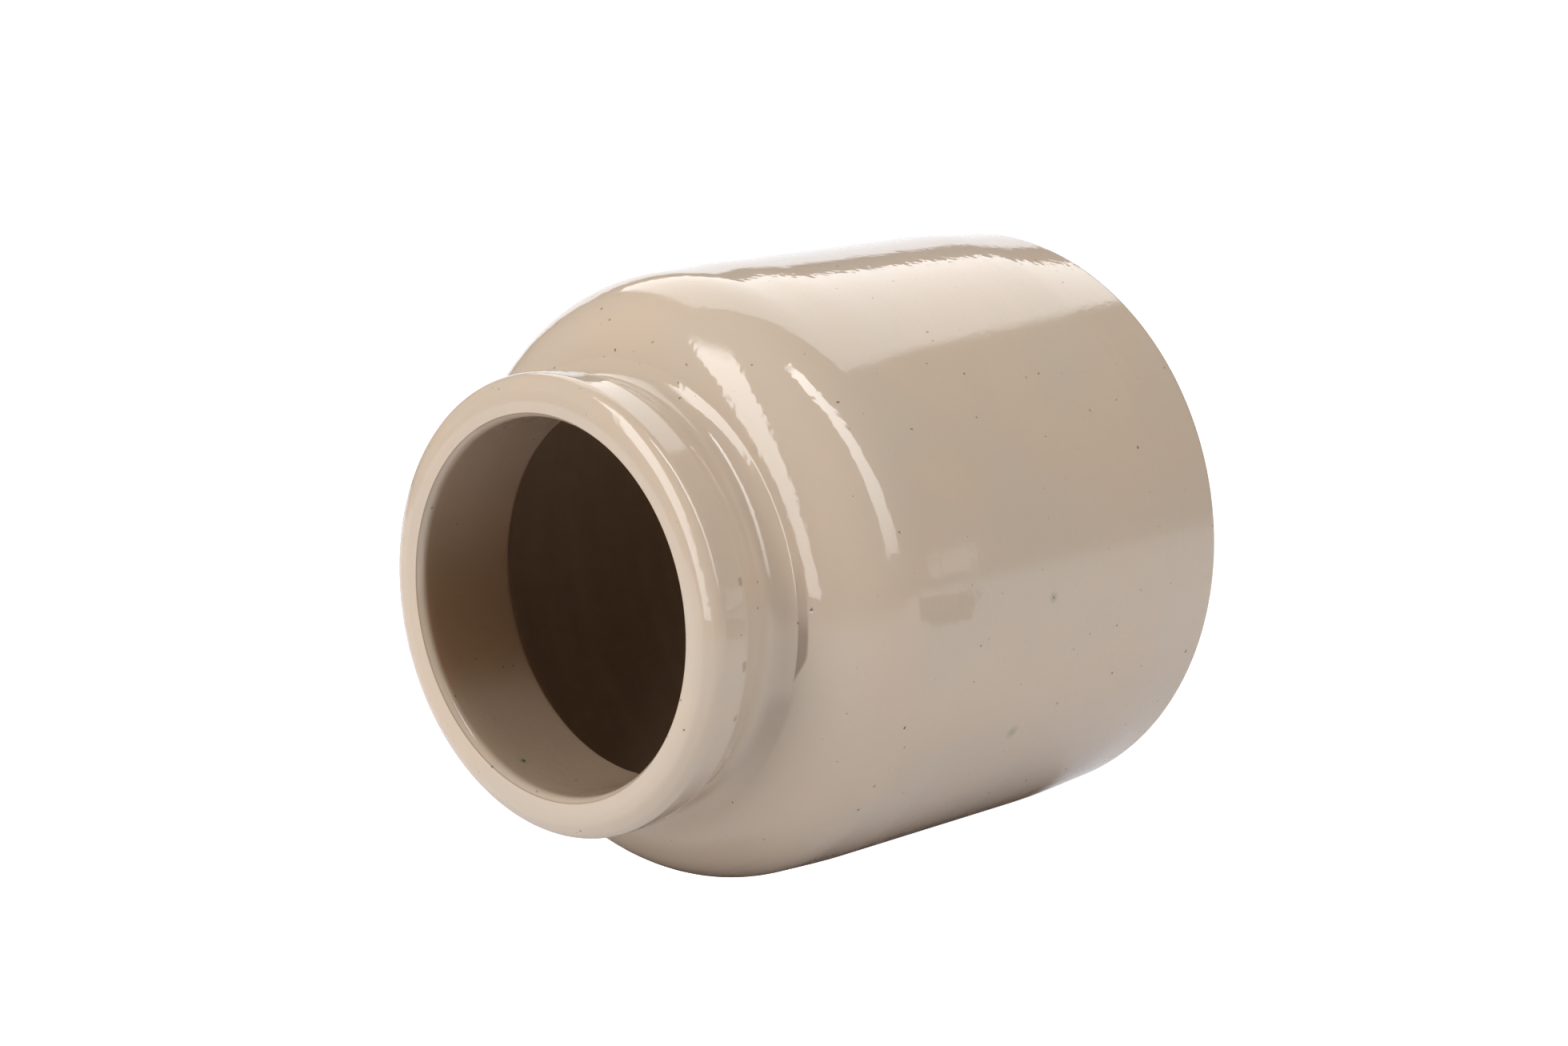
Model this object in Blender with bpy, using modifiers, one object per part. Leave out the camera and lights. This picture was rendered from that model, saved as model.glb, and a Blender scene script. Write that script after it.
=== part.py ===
"""Wide-mouthed stoneware storage jar, turned and fired in one piece.

Metres, +Z up, origin at the centre of the foot, on the surface that the jar stands on.
The clay is one wall of revolution. Its section is drawn as a few corners, each with the
radius that the potter's rib and sponge leave there, and is then turned about the Z axis.
"""
import math

import bpy

# Body
BODY_RADIUS = 0.0800
WALL_THICKNESS = 0.0068
FLOOR_THICKNESS = 0.0090
INNER_HEEL_ROUND = 0.0140

# Foot and heel
HEEL_DRAW_IN = 0.0014
HEEL_DRAW_HEIGHT = 0.0244
HEEL_BLEND = 0.2000
HEEL_ROUND = 0.0030
FOOT_RING_WIDTH = 0.0150
FOOT_RECESS_DEPTH = 0.0016
FOOT_RECESS_SLOPE_WIDTH = 0.0030
FOOT_RECESS_BLEND = 0.0025

# Shoulder
JAR_HEIGHT = 0.1726
SHOULDER_HEIGHT = 0.1458
SHOULDER_SLOPE = math.radians(20.0)
SHOULDER_LEAN = 0.0016
SHOULDER_LEAN_HEIGHT = 0.0349
SHOULDER_LEAN_BLEND = 0.1550
SHOULDER_ROUND = 0.0285
INNER_SHOULDER_SLOPE = math.radians(31.0)
INNER_SHOULDER_ROUND = 0.0200

# Neck and the groove that a cover is tied down in
NECK_RADIUS = 0.0553
NECK_COVE = 0.0081
NECK_GROOVE_HEIGHT = 0.0062
NECK_GROOVE_BLEND = 0.0080

# Rolled collar and lip
COLLAR_RADIUS = 0.0589
COLLAR_DEPTH = 0.0116
COLLAR_FOOT_ROUND = 0.0040
COLLAR_TOP_DROP = 0.0024
COLLAR_TOP_ROUND = 0.0045
LIP_CROWN_INSET = 0.0041
LIP_CROWN_ROUND = 0.0140

# Mouth and bore
MOUTH_RADIUS = 0.0492
MOUTH_DROP = 0.0002
MOUTH_BEVEL_WIDTH = 0.0013
MOUTH_BEVEL_DEPTH = 0.0030
MOUTH_BEVEL_BLEND = 0.0040
BORE_DEPTH = 0.0320
BORE_FLARE = 0.0004
BORE_FOOT_ROUND = 0.0022

# Turning
TURN_STEPS = 64
ARC_STEP = math.radians(10.0)
MERGE_DISTANCE = 0.00005
SMOOTH_ANGLE = math.radians(35.0)

# Glazed stoneware, linear colour
GLAZE_COLOUR = (0.462, 0.380, 0.296, 1.0)
GLAZE_ROUGHNESS = 0.14
GLAZE_IOR = 1.52


def section_corners():
    """Corners of the wall's section as (radius, height, rounding), from the floor inside,
    up to the lip and down the outside to the middle of the foot."""
    inner_radius = BODY_RADIUS - WALL_THICKNESS
    bore_top_radius = MOUTH_RADIUS - MOUTH_BEVEL_WIDTH
    bore_foot_radius = bore_top_radius + BORE_FLARE
    bore_foot_height = JAR_HEIGHT - BORE_DEPTH
    inner_fall = (inner_radius - bore_foot_radius) * math.tan(INNER_SHOULDER_SLOPE)
    mouth_height = JAR_HEIGHT - MOUTH_DROP
    collar_top_height = JAR_HEIGHT - COLLAR_TOP_DROP
    collar_foot_height = JAR_HEIGHT - COLLAR_DEPTH
    shoulder_radius = BODY_RADIUS - SHOULDER_LEAN
    shoulder_fall = (shoulder_radius - NECK_RADIUS) * math.tan(SHOULDER_SLOPE)
    shoulder_corner_height = SHOULDER_HEIGHT - shoulder_fall
    foot_radius = BODY_RADIUS - HEEL_DRAW_IN
    ring_inner_radius = foot_radius - FOOT_RING_WIDTH
    recess_radius = ring_inner_radius - FOOT_RECESS_SLOPE_WIDTH

    inside = [
        (0, FLOOR_THICKNESS, 0),
        (inner_radius, FLOOR_THICKNESS, INNER_HEEL_ROUND),
        (inner_radius, bore_foot_height - inner_fall, INNER_SHOULDER_ROUND),
        (bore_foot_radius, bore_foot_height, BORE_FOOT_ROUND),
        (bore_top_radius, mouth_height - MOUTH_BEVEL_DEPTH, MOUTH_BEVEL_BLEND),
    ]
    lip = [
        (MOUTH_RADIUS, mouth_height, 0),
        (COLLAR_RADIUS - LIP_CROWN_INSET, JAR_HEIGHT, LIP_CROWN_ROUND),
        (COLLAR_RADIUS, collar_top_height, COLLAR_TOP_ROUND),
        (COLLAR_RADIUS, collar_foot_height, COLLAR_FOOT_ROUND),
    ]
    outside = [
        (NECK_RADIUS, SHOULDER_HEIGHT + NECK_GROOVE_HEIGHT, NECK_GROOVE_BLEND),
        (NECK_RADIUS, SHOULDER_HEIGHT, NECK_COVE),
        (shoulder_radius, shoulder_corner_height, SHOULDER_ROUND),
        (BODY_RADIUS, shoulder_corner_height - SHOULDER_LEAN_HEIGHT, SHOULDER_LEAN_BLEND),
        (BODY_RADIUS, HEEL_DRAW_HEIGHT, HEEL_BLEND),
        (foot_radius, 0, HEEL_ROUND),
    ]
    foot = [
        (ring_inner_radius, 0, FOOT_RECESS_BLEND),
        (recess_radius, FOOT_RECESS_DEPTH, FOOT_RECESS_BLEND),
        (0, FOOT_RECESS_DEPTH, 0),
    ]
    return inside + lip + outside + foot


def corner_frame(before, corner, after):
    """Unit directions from a corner to its neighbours, and half the angle between them."""
    legs = []
    for other in (before, after):
        step = (other[0] - corner[0], other[1] - corner[1])
        length = math.hypot(*step)
        legs.append((step[0] / length, step[1] / length))
    cosine = legs[0][0] * legs[1][0] + legs[0][1] * legs[1][1]
    half_angle = math.acos(max(-1.0, min(1.0, cosine))) / 2
    return legs[0], legs[1], half_angle


def rounded_section(corners):
    """The section's points, with a tangent arc at each corner that has a rounding.

    Where two neighbouring arcs would overlap on the straight between them, both shrink
    until they share it, so the section stays smooth when a size changes."""
    last = len(corners) - 1
    frames = {}
    reach = [0.0] * len(corners)
    for i in range(1, last):
        frames[i] = corner_frame(corners[i - 1], corners[i], corners[i + 1])
        reach[i] = corners[i][2] / math.tan(frames[i][2])

    fit_share = [1.0] * len(corners)
    for i in range(last):
        straight = math.dist(corners[i][:2], corners[i + 1][:2])
        wanted = reach[i] + reach[i + 1]
        if wanted > straight:
            fit_share[i] = min(fit_share[i], straight / wanted)
            fit_share[i + 1] = min(fit_share[i + 1], straight / wanted)

    points = []
    for i, (radius, height, rounding) in enumerate(corners):
        if i not in frames or rounding == 0:
            points.append((radius, height))
            continue
        towards_last, towards_next, half_angle = frames[i]
        tangent = reach[i] * fit_share[i]
        arc_radius = tangent * math.tan(half_angle)
        middle = (towards_last[0] + towards_next[0], towards_last[1] + towards_next[1])
        middle_length = math.hypot(*middle)
        centre_distance = arc_radius / math.sin(half_angle)
        centre = (
            radius + middle[0] / middle_length * centre_distance,
            height + middle[1] / middle_length * centre_distance,
        )
        start = (radius + towards_last[0] * tangent, height + towards_last[1] * tangent)
        start_angle = math.atan2(start[1] - centre[1], start[0] - centre[0])
        turn = math.pi - 2 * half_angle
        crossed = towards_last[0] * towards_next[1] - towards_last[1] * towards_next[0]
        if crossed > 0:
            turn = -turn
        steps = max(2, math.ceil(abs(turn) / ARC_STEP))
        for step in range(steps + 1):
            angle = start_angle + turn * step / steps
            points.append((
                centre[0] + arc_radius * math.cos(angle),
                centre[1] + arc_radius * math.sin(angle),
            ))
    return points


def without_doubles(points):
    """The same points, leaving out any that repeats the one before it."""
    kept = [points[0]]
    for point in points[1:]:
        if math.dist(point, kept[-1]) > 2 * MERGE_DISTANCE:
            kept.append(point)
    return kept


def glaze_material():
    """Clear-fired, pale greige glaze over stoneware."""
    material = bpy.data.materials.new("greige_stoneware_glaze")
    material.use_nodes = True
    shader = material.node_tree.nodes["Principled BSDF"]
    shader.inputs["Base Color"].default_value = GLAZE_COLOUR
    shader.inputs["Roughness"].default_value = GLAZE_ROUGHNESS
    shader.inputs["Metallic"].default_value = 0.0
    shader.inputs["IOR"].default_value = GLAZE_IOR
    material.diffuse_color = GLAZE_COLOUR
    return material


def turned_jar(collection):
    """The jar: its section, turned a full circle about the Z axis."""
    section = without_doubles(rounded_section(section_corners()))
    mesh = bpy.data.meshes.new("stoneware_jar")
    vertices = [(radius, 0, height) for radius, height in section]
    edges = [(i, i + 1) for i in range(len(section) - 1)]
    mesh.from_pydata(vertices, edges, [])
    mesh.materials.append(glaze_material())

    jar = bpy.data.objects.new("stoneware_jar", mesh)
    collection.objects.link(jar)

    turn = jar.modifiers.new("turned on the wheel", 'SCREW')
    turn.axis = 'Z'
    turn.angle = math.tau
    turn.steps = TURN_STEPS
    turn.render_steps = TURN_STEPS
    turn.use_merge_vertices = True
    turn.merge_threshold = MERGE_DISTANCE
    turn.use_smooth_shade = True
    return jar


def applied_smooth(jar):
    """Keeps the turned wall as a mesh, smooth all over but for the mouth's arris."""
    bpy.context.view_layer.update()
    evaluated = jar.evaluated_get(bpy.context.evaluated_depsgraph_get())
    turned_mesh = bpy.data.meshes.new_from_object(evaluated)
    jar.modifiers.clear()
    jar.data = turned_mesh
    turned_mesh.shade_smooth()
    turned_mesh.set_sharp_from_angle(angle=SMOOTH_ANGLE)


def clear_scene():
    for item in list(bpy.data.objects):
        bpy.data.objects.remove(item, do_unlink=True)


def main():
    clear_scene()
    collection = bpy.data.collections.new("Stoneware jar")
    bpy.context.scene.collection.children.link(collection)
    jar = turned_jar(collection)
    applied_smooth(jar)


main()
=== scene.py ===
"""A wide-mouthed stoneware storage jar, turned in one piece, glazed, and set up for its picture.

The jar's section is drawn as corners with roundings, in real sizes, and spun about the Z axis.
The picture shows the jar lying on its side, so the camera is rolled, and the cards and lamps
are placed in the picture's own directions: right, up and towards the camera.
"""
import math

import bpy
from bpy.props import FloatProperty, FloatVectorProperty, IntProperty, PointerProperty
from bpy.types import NodeSocket, Operator, Panel, PropertyGroup
from mathutils import Euler, Matrix, Vector


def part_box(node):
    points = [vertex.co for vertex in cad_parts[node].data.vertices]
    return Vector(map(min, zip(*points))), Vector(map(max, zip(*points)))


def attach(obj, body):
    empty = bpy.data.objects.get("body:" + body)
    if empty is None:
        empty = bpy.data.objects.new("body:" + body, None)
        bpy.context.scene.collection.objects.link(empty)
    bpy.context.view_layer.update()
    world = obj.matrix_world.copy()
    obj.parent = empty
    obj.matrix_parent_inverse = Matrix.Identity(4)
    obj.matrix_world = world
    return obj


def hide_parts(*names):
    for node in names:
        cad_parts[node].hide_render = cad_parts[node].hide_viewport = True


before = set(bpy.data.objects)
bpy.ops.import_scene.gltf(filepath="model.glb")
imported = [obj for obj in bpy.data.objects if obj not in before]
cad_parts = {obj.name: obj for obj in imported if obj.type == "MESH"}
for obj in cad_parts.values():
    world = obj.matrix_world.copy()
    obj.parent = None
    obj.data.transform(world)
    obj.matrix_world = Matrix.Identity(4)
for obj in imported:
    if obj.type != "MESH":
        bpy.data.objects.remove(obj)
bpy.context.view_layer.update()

bl_info = {
    "name": "Stoneware Jar",
    "version": (1, 0, 0),
    "blender": (4, 5, 0),
    "location": "3D View > Sidebar > Jar",
    "description": "Turns and glazes a stoneware storage jar, and lights it on a pale floor",
    "category": "Object",
}

NODE_LOW, NODE_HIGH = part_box("stoneware_jar")
JAR_MIDDLE = Vector((0, 0, (NODE_LOW.z + NODE_HIGH.z) / 2))
MM = 0.001

# Turning
ARC_STEP = math.radians(4)
SMOOTH_ANGLE = math.radians(35)
MERGE_DISTANCE = 0.02 * MM
GLAZE_FACES, LINER_FACES, CLAY_FACES = range(3)
FACES_INWARDS = -0.01
FACES_UP = 0.9

# The Mix node's sockets for colours, which share their names with its sockets for other values
MIX_FACTOR, MIX_UNDER, MIX_OVER, MIX_COLOUR = 0, 6, 7, 2

# Camera, from the outline of the jar in the picture; its dip is how far it looks down
PICTURE_WIDTH = 1960
FOCAL_PIXELS = 4500
SENSOR_WIDTH_MM = 36.0
NEAR_CLIP = 0.01
CAMERA_PLACE = Vector((0.0, -0.6739, 0.7642))
CAMERA_TURN = Euler((math.radians(-11.60), math.radians(43.49), math.radians(-107.35)))
CAMERA_DIP = math.radians(11.6)

# The picture's directions in the jar's frame, and the upright of the table that the jar lies on
RIGHT, UP, TOWARDS = (column.copy() for column in CAMERA_TURN.to_matrix().col)
TRUE_UP = (UP * math.cos(CAMERA_DIP) + TOWARDS * math.sin(CAMERA_DIP)).normalized()

# Marks in the glaze that the picture shows: (x, y, z) and diameter, in mm
IRON_SPOTS = (
    ((-10.7, -55.1, 154.2), 0.8),
    ((-35.6, -39.9, 172.4), 0.7),
    ((-47.6, -63.0, 121.3), 0.9),
    ((-65.7, -43.2, 123.3), 0.7),
    ((-57.2, -20.9, 143.7), 0.8),
    ((33.9, -69.9, 126.7), 0.8),
    ((35.3, -71.8, 81.2), 0.5),
)
PINHOLES = (
    ((-14.0, -61.5, 142.8), 1.0),
    ((-36.6, 31.0, 163.2), 1.3),
    ((-24.9, -76.0, 71.1), 0.7),
)
GREEN_HALOS = (
    ((-36.6, 31.0, 163.2), 4.6),
    ((-24.9, -76.0, 71.1), 4.2),
    ((-56.5, -56.6, 75.9), 5.5),
)
COLLAR_CHIPS = (
    ((-23.8, -53.9, 161.7), 3.4),
    ((-3.6, -58.8, 161.4), 2.6),
    ((-35.6, -46.9, 161.6), 2.2),
)

# How far each kind of mark fades in from its edge, as a share of its radius, and how strong it is
IRON_FADE, PINHOLE_FADE, MARK_STRENGTH = 0.4, 0.5, 0.9
HALO_FADE, HALO_STRENGTH = 1.0, 0.55
CHIP_FADE, CHIP_STRENGTH = 0.5, 0.5
CRATER_FADE, CRATER_SPREAD = 0.9, 1.8

# Iron specks all over: the cell that may hold one and the largest, in mm, and the share of cells
# that do. Real ones are 0.3 to 0.8 mm, and some are drawn larger, so that they show. They fade
# over a tenth of a mm, the smallest is a share of the largest, and the rarity is a power.
FINE_SPECKS = (4.0, 1.0, 0.8)
COARSE_SPECKS = (12.0, 1.4, 0.6)
SPECK_FADE = 0.10
SMALLEST_SPECK = 0.3
SPECK_RARITY = 3.0
SPECK_STRENGTH = 0.65

# A fine shake, in mm, that keeps specks and broken edges from being round or straight
SHAKE_GRAIN, SHAKE_REACH = 0.7, 0.9

# Surface of the glaze: grains, in mm high and mm round the jar, the heights in mm that they make,
# and how far the mottling from its uneven thickness is evened out
THICKNESS_GRAIN = 34
THICKNESS_STRETCH = (0.35, 0.65)
MOTTLE_EVENED = 0.5
THROWING_LINES, THROWING_HEIGHT = (4.0, 40), 0.05
SLOW_THROWING_LINES, SLOW_THROWING_HEIGHT = (10.0, 160), 0.08
LINES_ROUGHNESS = 0.55
PEEL_GRAIN, PEEL_HEIGHT = 1.5, 0.030
CRATER_HEIGHT = -0.15

# Painted shade in the bore: stretches over which it sets in, in mm, and its share outside and inside the
# darker band across it
BORE_IN_FROM_MOUTH = (-0.1, -0.4)
BORE_DOWN_FROM_BEVEL = (0.8, -1.2)
BORE_UPPER_SIDE = (44, 5)
BORE_LOWER_SIDE = (-24, -6)
BORE_SHADE_SHARES = (0.42, 0.90)

# Edges where the clay shows, in mm: how far above the collar's foot, and each one's half width.
# A band keeps its full strength over its core, a share of its half width.
BAND_CORE = 0.4
COLLAR_BREAK_ABOVE, COLLAR_BREAK_HALF = 0.7, 0.9
ARRIS_BREAK_HALF, ARRIS_STRENGTH = 0.20, 0.55

# Painted shade on the shoulder beside the crease, standing in for a dark reflection there, in mm: it starts
# at the first point below and widens from there
CREASE_SHADE_END = (-33.1, -51.2, 143.8)
CREASE_SHADE_WIDTH = 2.9
CREASE_SHADE_WIDEST_AT = 11.0
CREASE_SHADE_EDGE = (0, 0.8)
CREASE_SHADE_OFF_CREASE = (-0.1, 0.3)
CREASE_SHADE_THINS = (22, 14)
CREASE_SHADE_SHARES = (0.25, 0.65)
CREASE_SHADE_ENDS = (37.4, 20.4)
CREASE_SHADE_SIDE = (-1, 0)
CREASE_SHADE_HEIGHTS = (135, 140)

# Fainter painted shade in the hollow at the neck's foot, in mm
COVE_SHADE_INSIDE_CREASE, COVE_SHADE_HALF = 1.6, 3.2
COVE_SHADE_NEAR_END = (3, -4)
COVE_SHADE_FAR_END = (-25, -5)
COVE_SHADE_HEIGHTS = (150, 148)
COVE_SHADE_SHARE = 0.22

# Typical values for a glossy feldspathic glaze, a drier liner glaze and bare stoneware
GLAZE_IOR, GLAZE_ROUGHNESS = 1.52, 0.03
LINER_IOR, LINER_ROUGHNESS = 1.5, 0.35
LINER_STREAKS, LINER_SHADE = (6, 60), 0.8
CLAY_IOR, CLAY_ROUGHNESS = 1.5, 0.85
SAND_GRAIN, SAND_HEIGHT = 0.7, 0.12
SAND_STRETCH, CLAY_SHADE = (0.3, 0.7), 0.75

# Cards and floor: places and half sides in metres, in the picture's directions, and fades as
# shares of a half side
FLOOR_SIDE = 8.0
FLOOR_GLOW = 0.8
TABLE_GAP = 0.0005
TABLE_TO_RIGHT, TABLE_TO_BACK = 0.55, 0.45
TABLE_HALF_WIDTH, TABLE_HALF_DEPTH = 1.25, 1.20
TABLE_FRONT_FADE = (0.55, 1.0)
SHADE_FOOT_END, SHADE_SHOULDER_END = 0.001, 0.150
SHADE_HALF_WIDTH = 0.065
SHADE_SIDE_FADE = (0.88, 0.28)
SHADE_END_FADE = (1.0, 0.85)
BACKDROP_PLACE, BACKDROP_HALVES, BACKDROP_GLOW = (-0.10, 0.20, -1.1), (0.45, 0.50), 1.35
WINDOW_PLACE, WINDOW_HALVES, WINDOW_GLOW = (0.80, 0.025, 0.062), (0.042, 0.050), 0.9
CLAMP_PLACE, CLAMP_HALVES = (0.32, -0.062, 0.085), (0.050, 0.022)

# Lamps: places, ends and half sides in metres, in the picture's directions
SOFTBOX_PLACE, SOFTBOX_HALVES = (0.11, 1.05, -0.68), (0.58, 0.80)
LEFT_STRIP_ENDS, LEFT_STRIP_HALF = ((-0.67, -0.55, 1.29), (-0.84, 1.36, 0.41)), 0.185
RIGHT_STRIP_ENDS, RIGHT_STRIP_HALF = ((1.11, 0.06, 0.93), (0.02, 1.43, 0.59)), 0.125
REFLECTOR_PLACE, REFLECTOR_HALVES = (-1.30, 0.55, 0.30), (1.15, 0.95)
RIGHT_FILL_PLACE, RIGHT_FILL_HALF = (1.20, 0.30, 0.55), 0.35
REAR_FILL_PLACE, REAR_FILL_HALF = (-0.12, -0.16, -0.98), 0.20


def linear(hex_colour):
    """An sRGB hex colour as linear red, green and blue."""
    shares = [int(hex_colour[i:i + 2], 16) / 255 for i in (1, 3, 5)]
    return tuple(c / 12.92 if c <= 0.04045 else ((c + 0.055) / 1.055) ** 2.4 for c in shares)


def length(name, description, default):
    """A size in metres that a user may change."""
    return FloatProperty(name=name, description=description, default=default, unit='LENGTH', precision=4)


def slope(name, description, degrees):
    """A fall that a user may change."""
    return FloatProperty(name=name, description=description, default=math.radians(degrees), subtype='ANGLE')


def colour(name, description, hex_colour):
    """A colour that a user may change."""
    return FloatVectorProperty(
        name=name, description=description, default=linear(hex_colour), subtype='COLOR', min=0, max=1,
    )


def watts(name, description, default):
    """A lamp's power."""
    return FloatProperty(name=name, description=description, default=default, unit='POWER', min=0)


class JarSizes(PropertyGroup):
    """The corners of the clay wall's section, and how finely it is turned."""

    body_radius: length("Body radius", "Outside of the straight wall", (NODE_HIGH.x - NODE_LOW.x) / 2)
    wall: length("Wall", "Thickness of the clay in the body", 0.0068)
    floor: length("Floor", "Height of the inside floor above the foot", 0.0090)
    inner_heel_round: length("Inner heel round", "Rounding between floor and wall inside", 0.0140)

    heel_draw_in: length("Heel draw-in", "How far the wall is drawn in at the foot", 0.0014)
    heel_draw_height: length("Heel draw height", "Where the draw-in begins", 0.0244)
    heel_blend: length("Heel blend", "Rounding where the draw-in begins", 0.2000)
    heel_round: length("Heel round", "Rounding at the foot's outer edge", 0.0030)
    foot_ring: length("Foot ring", "Width of the ring that the jar stands on", 0.0150)
    recess_depth: length("Recess depth", "Depth of the recess in the foot", 0.0016)
    recess_slope: length("Recess slope", "Width of the recess's sloping edge", 0.0030)
    recess_blend: length("Recess blend", "Rounding at both ends of that slope", 0.0025)

    height: length("Height", "From the foot to the crown of the lip", 0.17254)
    shoulder_height: length("Shoulder height", "Where the shoulder's slope meets the neck's radius", 0.1458)
    shoulder_slope: slope("Shoulder slope", "Fall of the shoulder", 20)
    shoulder_lean: length("Shoulder lean", "How far the wall leans in below the shoulder", 0.0016)
    shoulder_lean_height: length("Lean height", "Length of that lean", 0.0349)
    shoulder_lean_blend: length("Lean blend", "Rounding where the lean begins", 0.1550)
    shoulder_round: length("Shoulder round", "Rounding of the shoulder", 0.0285)
    inner_shoulder_slope: slope("Inner slope", "Fall of the shoulder inside", 31)
    inner_shoulder_round: length("Inner shoulder round", "Rounding of the shoulder inside", 0.0200)

    neck_radius: length("Neck radius", "Outside of the neck", 0.0553)
    neck_cove: length("Neck cove", "Hollow rounding at the neck's foot", 0.0067)
    crease_radius: length("Crease radius", "Where the neck's foot meets the shoulder in a crease", 0.0597)
    crease_slope: slope("Crease slope", "Fall of the neck's foot into the crease", 33.5)
    crease_round: length("Crease round", "Rounding in that crease", 0.0030)
    groove_height: length("Groove height", "Height of the groove above the shoulder", 0.0062)
    groove_blend: length("Groove blend", "Rounding under the collar", 0.0068)

    collar_radius: length("Collar radius", "Upright face of the rolled collar", 0.0589)
    collar_depth: length("Collar depth", "From the lip's crown to the collar's foot", 0.0116)
    collar_foot_round: length("Collar foot round", "Rounding under the collar's face", 0.0040)
    collar_top_drop: length("Collar top drop", "From the lip's crown to the collar's top edge", 0.0026)
    collar_top_round: length("Collar top round", "Rounding of that edge", 0.0037)
    crown_inset: length("Crown inset", "From the collar's face to the lip's crown", 0.0065)
    crown_round: length("Crown round", "Rounding over the crown", 0.0070)
    lip_slope_inset: length("Lip slope inset", "From the collar's face to where the lip falls away", 0.0039)
    lip_slope_drop: length("Lip slope drop", "How far that lies under the crown", 0.0003)
    lip_slope_round: length("Lip slope round", "Rounding where the lip falls away", 0.0045)

    mouth_radius: length("Mouth radius", "The lip's inner edge", 0.0492)
    mouth_drop: length("Mouth drop", "How far the inner edge lies under the crown", 0.0004)
    bevel_width: length("Mouth bevel width", "Width of the small bevel inside the lip", 0.0013)
    bevel_depth: length("Mouth bevel depth", "Height of that bevel", 0.0018)
    bevel_blend: length("Mouth bevel blend", "Rounding under that bevel", 0.0040)
    bore_depth: length("Bore depth", "From the lip to the end of the straight neck inside", 0.0320)
    bore_flare: length("Bore flare", "How much wider the bore is at its end", 0.0004)
    bore_foot_round: length("Bore foot round", "Rounding at the bore's end", 0.0022)

    outer_step: length("Outer step", "Distance between the mesh's rings where they show", 0.0014)
    inner_step: length("Inner step", "Distance between the mesh's rings deep inside and underneath", 0.0045)
    around: IntProperty(name="Around", description="Points in each ring", default=256, min=32)


class GlazeLook(PropertyGroup):
    """Colours of the fired clay and its glazes, and of the shade painted in the bore and beside the crease.
    """

    glaze: colour("Glaze", "Pale greige glaze, fired clear", "#B8A794")
    glaze_warm: colour("Warm glaze", "Where the glaze lies thin and the clay warms it", "#BCA691")
    glaze_cool: colour("Cool glaze", "Where the glaze lies thick", "#B5A594")
    liner: colour("Liner glaze", "Glaze inside the body, fired browner than outside", "#AE957B")
    iron: colour("Iron", "Specks of iron that melt out of the clay", "#4A3B30")
    copper: colour("Green bleed", "Greenish stain round a few larger specks", "#7F8A68")
    # Painted shade: this colour darkens the inside of the neck
    bore: colour("Bore", "Painted shade inside the neck", "#957353")
    bare_edge: colour("Bare edge", "Clay that shows where the glaze runs off an edge", "#84694F")
    # Painted shade: this colour darkens the shoulder beside the crease and the cove at the neck's foot
    crease_shade: colour("Crease shade", "Painted shade in the hollow beside the shoulder", "#735A43")
    clay: colour("Bare clay", "Unglazed foot ring", "#B79D80")


class StageLook(PropertyGroup):
    """Lamps and the room's light."""

    overhead: watts("Overhead softbox", "Wide softbox over the jar", 12.2)
    left_strip: watts("Left strip", "Narrow softbox on the left, in front", 15.0)
    right_strip: watts("Right strip", "Narrow softbox on the right, in front", 16.0)
    left_fill: watts("Left reflector", "Large white reflector on the left", 38.75)
    right_fill: watts("Right fill", "Soft light from the right, which doesn't show in the glaze", 4.0)
    rear_fill: watts("Rear fill", "Soft light on the back, which faces away from the camera", 5.0)
    room: FloatProperty(name="Room", description="Light from the dim room all round", default=0.15, min=0)


def rounded_section(corners):
    """Points along a section given as (radius, height, rounding), with tangent arcs at its corners.

    Two neighbouring arcs that would overlap on the straight between them shrink to share it."""
    last = len(corners) - 1
    places = [Vector(corner[:2]) for corner in corners]
    legs, halves, reach = {}, {}, [0.0] * len(corners)
    for i in range(1, last):
        legs[i] = [(places[j] - places[i]).normalized() for j in (i - 1, i + 1)]
        halves[i] = legs[i][0].angle(legs[i][1]) / 2
        reach[i] = corners[i][2] / math.tan(halves[i])

    fit_share = [1.0] * len(corners)
    for i in range(last):
        straight = (places[i + 1] - places[i]).length
        wanted = reach[i] + reach[i + 1]
        if wanted > straight:
            fit_share[i] = min(fit_share[i], straight / wanted)
            fit_share[i + 1] = min(fit_share[i + 1], straight / wanted)

    points = []
    for i, place in enumerate(places):
        if i not in legs or corners[i][2] == 0:
            points.append(place)
            continue
        before, after = legs[i]
        tangent = reach[i] * fit_share[i]
        arc_radius = tangent * math.tan(halves[i])
        centre = place + (before + after).normalized() * arc_radius / math.sin(halves[i])
        start = place + before * tangent - centre
        turn = math.pi - 2 * halves[i]
        if before.cross(after) > 0:
            turn = -turn
        steps = max(2, math.ceil(abs(turn) / ARC_STEP))
        for step in range(steps + 1):
            points.append(centre + Matrix.Rotation(turn * step / steps, 2) @ start)
    return points


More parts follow.
